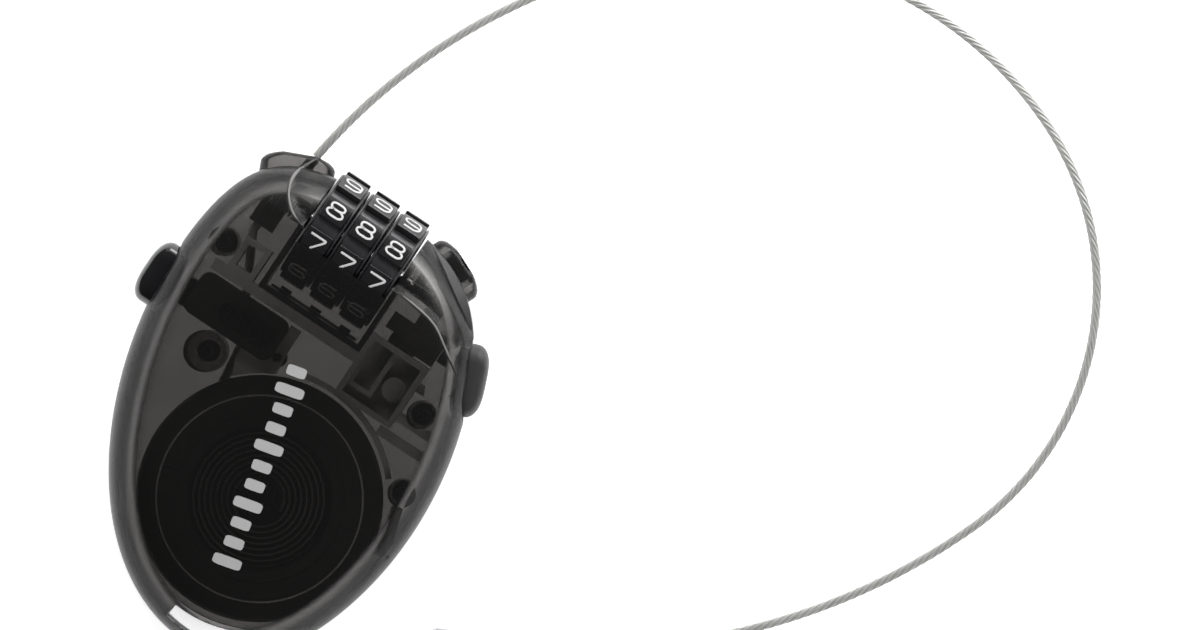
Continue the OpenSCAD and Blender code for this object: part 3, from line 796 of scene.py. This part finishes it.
def stadium(x, y, radius, steps=12):
    """Rounded rectangle in plan, given its spans."""
    loop = []
    for cx, cy, start in ((x[1], y[0], -90), (x[1], y[1], 0), (x[0], y[1], 90), (x[0], y[0], 180)):
        cx += -radius if cx == x[1] else radius
        cy += -radius if cy == y[1] else radius
        for k in range(steps + 1):
            a = math.radians(start + 90 * k / steps)
            loop.append((cx + radius * math.cos(a), cy + radius * math.sin(a)))
    return loop


def build_slider():
    """Slider with a rounded pocket that holds its spring."""
    low, high = box_mm("retract_slider")
    peg, bottom, floor = (-11.8, 25.3), 14.4, 15.0
    body = plate("slider", stadium((low[0], -11.0), (18.8, high[1]), 1.6), (bottom, high[2]))
    cut(body, plate("tool", stadium((-22.2, -11.8), (20.2, 24.4), 2.05), (floor, high[2] + 1)))
    leg = block((low[0], low[0] + 2), (19, 23.8), (low[2], bottom + 0.01))
    pin = [(0, low[2] + 3.0), (0.6, low[2] + 3.1), (0.6, bottom + 0.01), (0, bottom + 0.02)]
    peg_pin = place(solid_lathe("peg", pin, 32), shift(*peg))
    parts = [bake(soften(part, 0.25, 2, 40)) for part in (body, leg, peg_pin)]
    slider = smooth_by_angle(join("slider_body", parts), 40)
    paint(slider, INNER_BLACK)
    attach(slider, "retract_button")
    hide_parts("retract_slider")


WIRE_R, WIRE_SIDES, COIL_STEPS = 0.2, 10, 28
# How much closer the turns lie at the coil's ends
CLOSED_ENDS = 0.03


def wire_coil(name, node_name, radius, turns):
    """Wire spring along X in the CAD node's box."""
    low, high = box_mm(node_name)
    centre = (low + high) / 2
    rings = []
    count = turns * COIL_STEPS
    for i in range(count + 1):
        a = 2 * math.pi * i / COIL_STEPS
        share = i / count
        eased = share - math.sin(4 * math.pi * share) * CLOSED_ENDS
        x = low[0] + WIRE_R + (high[0] - low[0] - 2 * WIRE_R) * eased
        rings.append([
            (x + h, centre[1] + (radius + c) * math.cos(a), centre[2] + (radius + c) * math.sin(a))
            for c, h in circle(WIRE_R, WIRE_SIDES)
        ])
    spring = paint(loft(name, rings), SPRING_STEEL)
    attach(spring, "case")
    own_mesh(spring)
    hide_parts(node_name)


def finish_shell(shell, node_name):
    """Rounds, paints and hands over a shell."""
    soften(shell, 0.22, 2, 38)
    bake(shell)
    smooth_by_angle(shell, 38)
    paint(shell, SMOKE)
    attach(shell, "case")
    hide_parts(node_name)


COLLAR_ROUNDING, COLLAR_ARCH = 1.3, 13.0


def collar_arch(y):
    """How far the collar's outer face falls back at a place across it."""
    return COLLAR_ARCH - math.sqrt(COLLAR_ARCH**2 - y**2)


def build_collar(node_name):
    """Rounded smoked collar with its hole."""
    point, angle, length = COLLARS[node_name]
    start, end = COLLAR_SPAN
    profile = [(start, 0)]
    for t in np.linspace(0, math.pi / 2, 10):
        profile.append((end - COLLAR_ROUNDING * (1 - math.sin(t)), -COLLAR_ROUNDING * (1 - math.cos(t))))
    rings = []
    for x, grow in profile:
        share = (x - start) / (end - start)
        loop = oval(length + 2 * grow, COLLAR_H + 2 * grow, 80)
        rings.append([(x - collar_arch(y) * share, y, z) for y, z in loop])
    collar = loft(node_name + "_pad", rings)
    place(collar, in_plane(point, angle, CABLE_Z))
    if node_name == "exit_collar":
        radius, where, heading = EXIT_HOLE_R, EXIT, EXIT_ANGLE
    else:
        radius, where, heading = SOCKET_HOLE_R, point, angle
    cut(collar, place(rod("tool", circle(radius, 48), (-9, 9)), in_plane(where, heading, CABLE_Z)))
    soften(collar, 0.15, 2, 45)
    bake(collar)
    smooth_by_angle(collar, 40)
    paint(collar, SMOKE_COLLAR)
    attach(collar, "case")
    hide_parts(node_name)


# ---------------------------------------------------------------- number wheels

DIGIT_W, DIGIT_H, STROKE, STROKE_DEPTH = 3.2, 2.7, 0.36, 0.05
DIGIT_PITCH = 36.0
PAD_HALF_ANGLE, PAD_DEPTH = 12.0, 1.6
FIRST_DIGIT_ANGLE = 22.0
FIRST_DIGIT = 8

# Centre lines of the digits on a grid from -1 to 1; a closed line repeats its first point
DIGITS = {
    0: [[(-1, -0.5), (-1, 0.5), (-0.5, 1), (0.5, 1), (1, 0.5), (1, -0.5), (0.5, -1), (-0.5, -1), (-1, -0.5)]],
    1: [[(-0.5, 0.6), (0.1, 1), (0.1, -1)]],
    2: [[(-1, 0.55), (-0.6, 1), (0.6, 1), (1, 0.6), (1, 0.2), (0.5, -0.1), (-0.6, -0.35), (-1, -0.7),
         (-1, -1), (1, -1)]],
    3: [[(-0.9, 1), (0.6, 1), (1, 0.7), (1, 0.3), (0.6, 0.03), (-0.3, 0.03)],
        [(0.6, 0.03), (1, -0.3), (1, -0.7), (0.6, -1), (-0.95, -1)]],
    4: [[(0.5, -1), (0.5, 1), (-1, -0.45), (1, -0.45)]],
    5: [[(0.95, 1), (-0.9, 1), (-0.9, 0.1), (0.5, 0.1), (1, -0.2), (1, -0.7), (0.6, -1), (-0.95, -1)]],
    6: [[(0.9, 1), (-0.5, 1), (-1, 0.6), (-1, -0.6), (-0.6, -1), (0.6, -1), (1, -0.7), (1, -0.2), (0.6, 0.1),
         (-1, 0.1)]],
    7: [[(-1, 1), (1, 1), (0.9, 0.7), (-0.25, -1)]],
    8: [[(-0.5, 0.03), (-0.85, 0.3), (-0.85, 0.75), (-0.5, 1), (0.5, 1), (0.85, 0.75), (0.85, 0.3),
         (0.5, 0.03), (-0.5, 0.03)],
        [(-0.55, 0.03), (-1, -0.3), (-1, -0.7), (-0.6, -1), (0.6, -1), (1, -0.7), (1, -0.3), (0.55, 0.03)]],
    9: [[(-0.9, -1), (0.5, -1), (1, -0.6), (1, 0.6), (0.6, 1), (-0.6, 1), (-1, 0.7), (-1, 0.2), (-0.6, -0.1),
         (1, -0.1)]],
}


def rounded_line(points, radius=0.22, steps=4):
    """A polyline with its corners rounded by short quadratic curves."""
    p = [np.array(q, float) for q in points]
    closed = np.allclose(p[0], p[-1])
    out = []
    last = len(p) - 1
    for i, q in enumerate(p):
        if i in (0, last) and not closed:
            out.append(q)
            continue
        before = p[i - 1] if i else p[last - 1]
        after = p[i + 1] if i < last else p[1]
        a = q + (before - q) * min(0.45, radius / max(np.hypot(*(before - q)), 1e-6))
        b = q + (after - q) * min(0.45, radius / max(np.hypot(*(after - q)), 1e-6))
        for k in range(steps + 1):
            t = k / steps
            out.append((1 - t) ** 2 * a + 2 * t * (1 - t) * q + t**2 * b)
    dense = [out[0]]
    for q in out[1:]:
        count = max(1, int(np.hypot(*(q - dense[-1])) / 0.2))
        start = dense[-1]
        dense += [start + (q - start) * k / count for k in range(1, count + 1)]
    return dense


def stroke_section(depth):
    """A stroke's section as (share of the half width, height over the rim), with its top edges eased."""
    shoulder = depth * 0.7
    return [(-1, -depth), (-1, shoulder), (-0.86, depth), (0.86, depth), (1, shoulder), (1, -depth)]


def ribbon(points, width, depth, radius):
    """Raised stroke that follows the wheel's surface. Points are (across, along the rim) in mm."""
    p = [np.array(q) for q in points]
    keep = [p[0]] + [b for a, b in zip(p, p[1:]) if np.hypot(*(b - a)) > 0.03]
    closed = np.hypot(*(keep[0] - keep[-1])) < 0.05
    if closed:
        keep = keep[:-1]
    count = len(keep)
    rings = []
    for i, q in enumerate(keep):
        before = keep[i - 1] if (i or closed) else q
        after = keep[(i + 1) % count] if (i < count - 1 or closed) else q
        tangent = (after - before) / max(np.hypot(*(after - before)), 1e-9)
        side = np.array([-tangent[1], tangent[0]]) * width / 2
        ring = []
        for edge, height in stroke_section(depth):
            u, v = q + side * edge
            a = v / radius
            ring.append((u, (radius + height) * math.sin(a), (radius + height) * math.cos(a)))
        rings.append(ring)
    return loft("stroke", rings, wrap=closed)


def digit_strokes(digit):
    """The strokes of one digit, on top of the rim."""
    scale = np.array([(DIGIT_W - STROKE) / 2, (DIGIT_H - STROKE) / 2])
    return [
        ribbon([scale * q for q in rounded_line(line)], STROKE, STROKE_DEPTH, WHEEL_R)
        for line in DIGITS[digit]
    ]


def wheel_pad():
    """One number pad, its top following the rim, centred on +Z."""
    half_width, half_angle, steps = (WHEEL_W - 1.0) / 2, math.radians(PAD_HALF_ANGLE), 14
    low, high = WHEEL_R - PAD_DEPTH, WHEEL_R
    section = [(-half_width, low), (-half_width, high), (half_width, high), (half_width, low)]
    rings = []
    for i in range(steps + 1):
        a = -half_angle + 2 * half_angle * i / steps
        rings.append([(u, r * math.sin(a), r * math.cos(a)) for u, r in section])
    pad = loft("pad", rings)
    soften(pad, 0.16, 3, 50)
    return smooth_by_angle(paint(bake(pad), BLACK_WHEEL), 50)


def wheel_body():
    """Rim with two flanges, turned about the spindle."""
    rim, half, lip, bore = WHEEL_R - 0.9, WHEEL_W / 2, 0.35, 4.25
    side = [
        (bore, half), (rim - 2.2, half), (rim - 2.0, half - 0.3), (rim - 0.9, half - 0.3), (rim - 0.7, half),
        (rim - 0.15, half), (rim, half - 0.15), (rim, half - lip), (rim - 0.35, half - lip - 0.1),
    ]
    profile = [(r, -h) for r, h in side] + side[::-1]
    body = place(lathe("wheel_body", profile, 120), turn(90, "Y"))
    return smooth_by_angle(paint(body, WHEEL_RIM), 40)


def build_wheel(number):
    """Number wheel: rim, ten pads and their digits."""
    name = f"number_wheel_{number}"
    low, high = box_mm(name)
    parts = [wheel_body()]
    for k in range(10):
        matrix = turn(-(FIRST_DIGIT_ANGLE + DIGIT_PITCH * k), "X")
        parts.append(place(wheel_pad(), matrix))
        for stroke in digit_strokes((FIRST_DIGIT + k) % 10):
            parts.append(place(smooth_by_angle(paint(stroke, WHITE_INK), 60), matrix))
    wheel = join(f"{name}_dial", parts)
    place(wheel, shift((low[0] + high[0]) / 2, SPINDLE_Y, SPINDLE_Z))
    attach(wheel, f"wheel_{number}")
    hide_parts(name)


# ---------------------------------------------------------------- buttons

CROWN, CROWN_POWER, CROWN_END = 2.45, 3.2, 88.5
BUTTON_POWER = 2.2


def build_button(node_name, matrix, root, apex, size, paint_with, parts):
    """Oval button, crowned like a pebble, with the parts that move with it."""
    section = oval(*size, 96, BUTTON_POWER)
    rings = [[(x, y, z) for y, z in section] for x in (root, apex - CROWN - 0.05)]
    for t in np.linspace(0, math.radians(CROWN_END), 26):
        shrink = math.cos(t) ** (2 / CROWN_POWER)
        x = apex - CROWN + CROWN * math.sin(t)
        rings.append([(x, y * shrink, z * shrink) for y, z in section])
    head = place(loft("head", rings), matrix)
    pieces = [smooth_by_angle(paint(head, paint_with), 60)]
    for part in parts:
        soften(part, 0.25, 2, 40)
        pieces.append(smooth_by_angle(paint(bake(part), paint_with), 40))
    button = join(f"{node_name}_cap", pieces)
    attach(button, node_name)
    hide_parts(node_name)


def button_flange(span, size, grow, matrix):
    """Rim behind the wall that holds a button in."""
    return place(oval_prism("flange", span, size[0] + grow, size[1] + grow), matrix)


def build_open_button():
    """Grey button with the block that pushes the spindle."""
    flange = button_flange((25.2, 26.0), OPEN_SIZE, 1.4, OPEN_PLACE)
    pusher = block((11.5, 14.2), (34.2, 36.6), (10.8, 13.1))
    build_button("open_button", OPEN_PLACE, 25.9, OPEN_APEX, OPEN_SIZE, GREY_MATTE,
                 [flange, pusher])


def build_retract_button():
    """Black button with the stem that meets the slider."""
    flange = button_flange((29.0, 29.9), RETRACT_SIZE, 1.2, RETRACT_PLACE)
    stem = place(oval_prism("stem", (27.6, 29.1), 5, 3.4), RETRACT_PLACE)
    build_button("retract_button", RETRACT_PLACE, 29.8, RETRACT_APEX, RETRACT_SIZE, BLACK_GLOSS,
                 [flange, stem])


# ---------------------------------------------------------------- cable and plug

STRANDS, STRAND_R, STRAND_SIDES, LAY = 6, 0.27, 8, 9.5
CORE_R = 0.26
ROPE_STEP = 0.45
BLEND_REACH = 16.0


def loop_point(distance):
    """Point and heading on the cable loop, that many millimetres from where it leaves the case."""
    p, heading = np.array(EXIT[:2]), math.radians(EXIT_ANGLE)
    left = distance
    for radius, bend in zip(LOOP_RADII, LOOP_TURNS):
        length = radius * math.radians(bend)
        sweep = min(left, length) / radius
        p = p + radius * np.array([math.sin(heading) - math.sin(heading - sweep),
                                   math.cos(heading - sweep) - math.cos(heading)])
        heading -= sweep
        left -= length
        if left <= 0:
            break
    return p, heading


LENGTHS = [r * math.radians(t) for r, t in zip(LOOP_RADII, LOOP_TURNS)]
STARTS = [sum(LENGTHS[:k]) for k in range(len(LENGTHS) + 1)]


def strand(frames, offset, phase, radius):
    """One strand, wound round the rope's middle line at an offset."""
    rings = []
    for distance, point, side, up in frames:
        a = phase - 2 * math.pi * distance / LAY
        centre = point + offset * (math.cos(a) * side + math.sin(a) * up)
        rings.append([centre + c * side + s * up for c, s in circle(radius, STRAND_SIDES)])
    return paint(loft("strand", rings), CABLE_STEEL)


def loop_rope(name, low, high):
    """Twisted strands round a core, between two distances along the loop."""
    count = int((high - low) / ROPE_STEP)
    up = np.array([0.0, 0.0, 1.0])
    frames = []
    for i in range(count + 1):
        distance = low + (high - low) * i / count
        p, heading = loop_point(distance)
        side = np.array([-math.sin(heading), math.cos(heading), 0.0])
        frames.append((distance, np.array([p[0], p[1], CABLE_Z]), side, up))
    strands = [strand(frames, 0.0, 0.0, CORE_R)]
    for k in range(STRANDS):
        strands.append(strand(frames, CABLE_D / 2 - STRAND_R, 2 * math.pi * k / STRANDS, STRAND_R))
    return smooth_by_angle(join(name, strands), 60)


def loop_metres(distance):
    """Point on the cable loop, in metres."""
    x, y = loop_point(distance)[0]
    return x * MM, y * MM, CABLE_Z * MM


def build_cable():
    """Each rope runs from mid-length to mid-length, across the joint between two lengths."""
    middles = [(a + b) / 2 for a, b in zip(STARTS, STARTS[1:])]
    ends = [0.0] + middles[1:] + [STARTS[-1] + 0.1]
    last = len(LENGTHS) - 1
    for k in range(len(LENGTHS)):
        rope = loop_rope(f"cable_rope_{k + 1}", ends[k], ends[k + 1])
        joint = STARTS[k + 1]
        after = joint if k == last else joint + BLEND_REACH
        loop_metres(joint - BLEND_REACH)
        loop_metres(after)
        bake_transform(rope)
        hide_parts(f"cable_length_{k + 1}")


PLUG_SETBACK = 0.2


def build_plug():
    """Turned plug with a crimped barrel, a neck and a rounded tip."""
    r, neck, length, neck_l, tip_l, tip_r = 2.65, 1.7, 20.6, 6.0, 3.0, 1.25
    barrel = length - neck_l - tip_l
    profile = [(0, 0.0), (0.9, 0.0), (1.0, 0.12), (r - 0.55, 0.14), (r - 0.2, 0.3), (r, 0.7)]
    profile += [(r, barrel - 0.6), (r - 0.1, barrel - 0.3), (r - 0.5, barrel), (neck + 0.15, barrel + 0.05)]
    profile += [(neck, barrel + 0.25), (neck, barrel + neck_l - 0.25), (neck + 0.2, barrel + neck_l)]
    profile += [(r - 0.25, barrel + neck_l + 0.05), (r, barrel + neck_l + 0.3), (r, length - 1.3)]
    for t in np.linspace(0, math.pi / 2, 10)[1:]:
        profile.append((r - tip_r * (1 - math.cos(t)), length - 1.3 + tip_r * math.sin(t)))
    profile.append((0, length - 0.02))
    plug = solid_lathe("plug_body", profile, 96)
    p, heading = loop_point(STARTS[-1])
    place(plug, in_plane(p, math.degrees(heading), CABLE_Z) @ shift(PLUG_SETBACK, 0) @ turn(90, "Y"))
    smooth_by_angle(paint(plug, CHROME), 30)
    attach(plug, "plug")
    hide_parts("plug")


# ---------------------------------------------------------------- carried-over CAD nodes

NODE_MATERIALS = (
    (STEEL, ("case_screws", "plug_socket", "drum_axle", "axle_screw", "pawl_pin", "spindle")),
    (SPRING_STEEL, ("detent_spring", "pawl_spring")),
    (DARK_SPRING, ("mainspring",)),
    (CABLE_STEEL, ("cable_inner_run", "wound_cable")),
    (INNER_GREY, ("inner_frame", "wheel_hub_1", "wheel_hub_2", "wheel_hub_3", "brake_pawl")),
    (INNER_BLACK, ("dial_frame", "cable_guide", "latch", "drum", "reset_button")),
)


def finish_cad_nodes():
    """Materials and eased edges for the nodes that keep their CAD shape."""
    for node_material, names in NODE_MATERIALS:
        for name in names:
            obj = frame["nodes"][name]
            paint(obj, node_material)
            soften(obj, 0.12, 2, 40)


# ---------------------------------------------------------------- stage

STAGE_HALF, STAGE_CURVE_R, STAGE_WALL = 9000.0, 1500.0, 6000.0
FLOOR_Z = -0.3
BACKDROP_GLOW = 0.55


def build_stage():
    """Pale floor that curves up into a wall far behind the object."""
    m, tree = material("backdrop")
    vector = coordinates(tree)
    cloud = noise(tree, vector, 0.004, 2.0)
    bsdf = node(tree, "ShaderNodeBsdfPrincipled", Roughness=0.7)
    link(tree, mix_colour(tree, cloud, (0.86, 0.86, 0.86), (0.88, 0.88, 0.88)), bsdf.inputs["Base Color"])
    bsdf.inputs["Emission Color"].default_value = (1, 1, 1, 1)
    bsdf.inputs["Emission Strength"].default_value = BACKDROP_GLOW
    link(tree, bsdf.outputs["BSDF"], tree.nodes["Material Output"].inputs["Surface"])
    bend = STAGE_HALF - STAGE_CURVE_R
    profile = [(-STAGE_HALF, FLOOR_Z), (bend, FLOOR_Z)]
    for t in np.linspace(0.1, math.pi / 2, 12):
        profile.append((bend + STAGE_CURVE_R * math.sin(t), FLOOR_Z + STAGE_CURVE_R * (1 - math.cos(t))))
    profile.append((STAGE_HALF, STAGE_WALL))
    points = [(x, y, z) for y, z in profile for x in (-STAGE_HALF, STAGE_HALF)]
    faces = [(2 * k, 2 * k + 1, 2 * k + 3, 2 * k + 2) for k in range(len(profile) - 1)]
    floor = make_object("floor", points, faces)
    paint(floor, m)


def area_light(name, energy, size, location, target):
    """Soft rectangular light, aimed at the target and not seen by the camera."""
    data = bpy.data.lights.new(name, "AREA")
    data.shape = "RECTANGLE"
    data.size, data.size_y = size[0] * MM, size[1] * MM
    data.energy = energy
    light = bpy.data.objects.new(name, data)
    bpy.context.scene.collection.objects.link(light)
    light.location = Vector(location) * MM
    light.visible_camera = False
    light.rotation_euler = (Vector(target) * MM - light.location).to_track_quat("-Z", "Y").to_euler()
    return light


VIEW_CENTRE = (29.5, 55.1)
VIEW_ROLL = 33.5
VIEW_WIDTH = 194.4
CAMERA_HEIGHT = 1400.0
CLIP_END = 30.0


def build_camera():
    """Camera straight above the lock, rolled as in the photo."""
    data = bpy.data.cameras.new("camera")
    data.sensor_width = 36.0
    data.lens = data.sensor_width * CAMERA_HEIGHT / VIEW_WIDTH
    data.clip_end = CLIP_END
    camera = bpy.data.objects.new("camera", data)
    bpy.context.scene.collection.objects.link(camera)
    camera.location = Vector((*VIEW_CENTRE, CAMERA_HEIGHT + 10)) * MM
    camera.rotation_euler = (0, 0, math.radians(VIEW_ROLL))
    bpy.context.scene.camera = camera


def build_lights():
    """Key, fill and a low strip; only the strip shows in reflections."""
    centre = (0, 20, 10)
    key = area_light("key", 5.0, (420, 300), (-330, 420, 520), centre)
    fill = area_light("fill", 3.2, (500, 500), (380, -220, 520), centre)
    for soft in (key, fill):
        soft.visible_glossy = False
    area_light("rim", 2.2, (600, 160), (60, 620, 160), centre)


def build_world():
    """Dim sky, brighter low down and towards the top of the picture."""
    world = bpy.data.worlds.new("world")
    world.use_nodes = True
    sky = world.node_tree
    direction = sky.nodes.new("ShaderNodeTexCoord")
    split = sky.nodes.new("ShaderNodeSeparateXYZ")
    facing = sky.nodes.new("ShaderNodeVectorMath")
    facing.operation = "DOT_PRODUCT"
    roll = math.radians(VIEW_ROLL)
    facing.inputs[1].default_value = (-math.sin(roll), math.cos(roll), 0)
    product = sky.nodes.new("ShaderNodeMath")
    product.operation = "MULTIPLY"
    link(sky, direction.outputs["Generated"], split.inputs[0])
    link(sky, direction.outputs["Generated"], facing.inputs[0])
    link(sky, ramp(sky, facing.outputs["Value"], 0.28, 0.75, -0.2, 0.9), product.inputs[0])
    link(sky, ramp(sky, split.outputs["Z"], 1.0, 0.06, 0.5, 0.92), product.inputs[1])
    link(sky, product.outputs[0], sky.nodes["Background"].inputs["Strength"])
    bpy.context.scene.world = world
    bpy.context.scene.view_settings.view_transform = "Standard"


build_front_shell()
build_back_shell()
build_crease_highlight()
build_print()
build_posts()
build_drum_cover()
build_slider()
wire_coil("spindle_coil", "spindle_spring", 1.2, 6)
wire_coil("retract_coil", "retract_spring", 1.0, 8)
for collar in COLLARS:
    build_collar(collar)
for wheel in (1, 2, 3):
    build_wheel(wheel)
build_open_button()
build_retract_button()
build_cable()
build_plug()
finish_cad_nodes()
build_stage()
build_camera()
build_lights()
build_world()
